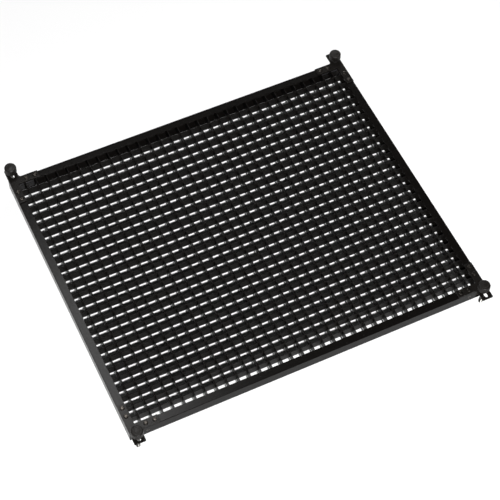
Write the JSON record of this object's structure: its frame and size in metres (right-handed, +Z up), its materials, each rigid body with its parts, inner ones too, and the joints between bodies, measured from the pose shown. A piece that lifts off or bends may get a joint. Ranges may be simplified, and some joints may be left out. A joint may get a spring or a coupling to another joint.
{
  "type": "honeycomb grid",
  "caption": "Rectangular egg-crate grid in a channel frame, with captive thumbscrews in slotted corner lugs, that narrows the beam of a soft panel lamp.",
  "frame": {"origin": "centre of the footprint at the level of the four stud tips, on which the grid stands", "axes": "+X along the long rails to the right, +Y to the rear, +Z up out of the side that faces away from the lamp"},
  "size_m": [0.3716, 0.3317, 0.031],
  "materials": {
    "rail_black": "satin black powder coat",
    "strip_black": "semi-matt black coating",
    "bracket_black": "satin black powder coat",
    "angle_zinc": "zinc plated",
    "screw_black": "black oxide",
    "knob_black": "moulded, lightly polished",
    "stud_steel": "black nickel plated",
    "washer_nylon": "black nylon",
    "spring_steel": "phosphated spring steel"
  },
  "bodies": {
    "frame": {"rail_front": "rail_black", "rail_rear": "rail_black", "rail_left": "rail_black", "rail_right": "rail_black", "long_strips": "strip_black", "cross_strips": "strip_black", "corner_bracket_front_left": "bracket_black", "corner_angle_front_left": "angle_zinc", "bracket_screws_front_left": "screw_black", "side_screws_front_left": "screw_black", "corner_bracket_front_right": "bracket_black", "corner_angle_front_right": "angle_zinc", "bracket_screws_front_right": "screw_black", "side_screws_front_right": "screw_black", "corner_bracket_rear_left": "bracket_black", "corner_angle_rear_left": "angle_zinc", "bracket_screws_rear_left": "screw_black", "side_screws_rear_left": "screw_black", "corner_bracket_rear_right": "bracket_black", "corner_angle_rear_right": "angle_zinc", "bracket_screws_rear_right": "screw_black", "side_screws_rear_right": "screw_black"},
    "washer_front_left_slide": {"washer_front_left": "washer_nylon"},
    "snap_ring_front_left_lift": {"snap_ring_front_left": "spring_steel"},
    "thumbscrew_front_left": {"knob_front_left": "knob_black", "stud_front_left": "stud_steel"},
    "washer_front_right_slide": {"washer_front_right": "washer_nylon"},
    "snap_ring_front_right_lift": {"snap_ring_front_right": "spring_steel"},
    "thumbscrew_front_right": {"knob_front_right": "knob_black", "stud_front_right": "stud_steel"},
    "washer_rear_left_slide": {"washer_rear_left": "washer_nylon"},
    "snap_ring_rear_left_lift": {"snap_ring_rear_left": "spring_steel"},
    "thumbscrew_rear_left": {"knob_rear_left": "knob_black", "stud_rear_left": "stud_steel"},
    "washer_rear_right_slide": {"washer_rear_right": "washer_nylon"},
    "snap_ring_rear_right_lift": {"snap_ring_rear_right": "spring_steel"},
    "thumbscrew_rear_right": {"knob_rear_right": "knob_black", "stud_rear_right": "stud_steel"}
  },
  "joints": [
    {"name": "slot_front_left", "type": "slide", "parent": "frame", "child": "washer_front_left_slide", "axis": [0, -1, 0], "range_m": [-0.0025, 0.0037]},
    {"name": "lift_front_left", "type": "slide", "parent": "washer_front_left_slide", "child": "snap_ring_front_left_lift", "axis": [0, 0, 1], "range_m": [0, 0.0065]},
    {"name": "turn_front_left", "type": "hinge", "parent": "snap_ring_front_left_lift", "child": "thumbscrew_front_left", "pos_m": [-0.1798, -0.1583, 0.0115], "axis": [0, 0, 1], "continuous": true},
    {"name": "slot_front_right", "type": "slide", "parent": "frame", "child": "washer_front_right_slide", "axis": [0, -1, 0], "range_m": [-0.0001, 0.0061]},
    {"name": "lift_front_right", "type": "slide", "parent": "washer_front_right_slide", "child": "snap_ring_front_right_lift", "axis": [0, 0, 1], "range_m": [0, 0.0065]},
    {"name": "turn_front_right", "type": "hinge", "parent": "snap_ring_front_right_lift", "child": "thumbscrew_front_right", "pos_m": [0.1798, -0.1559, 0.0115], "axis": [0, 0, 1], "continuous": true},
    {"name": "slot_rear_left", "type": "slide", "parent": "frame", "child": "washer_rear_left_slide", "axis": [0, 1, 0], "range_m": [-0.0042, 0.002]},
    {"name": "lift_rear_left", "type": "slide", "parent": "washer_rear_left_slide", "child": "snap_ring_rear_left_lift", "axis": [0, 0, 1], "range_m": [0, 0.0065]},
    {"name": "turn_rear_left", "type": "hinge", "parent": "snap_ring_rear_left_lift", "child": "thumbscrew_rear_left", "pos_m": [-0.1798, 0.16, 0.0115], "axis": [0, 0, 1], "continuous": true},
    {"name": "slot_rear_right", "type": "slide", "parent": "frame", "child": "washer_rear_right_slide", "axis": [0, 1, 0], "range_m": [-0.0001, 0.0061]},
    {"name": "lift_rear_right", "type": "slide", "parent": "washer_rear_right_slide", "child": "snap_ring_rear_right_lift", "axis": [0, 0, 1], "range_m": [0, 0.0065]},
    {"name": "turn_rear_right", "type": "hinge", "parent": "snap_ring_rear_right_lift", "child": "thumbscrew_rear_right", "pos_m": [0.1798, 0.1559, 0.0115], "axis": [0, 0, 1], "continuous": true}
  ]
}
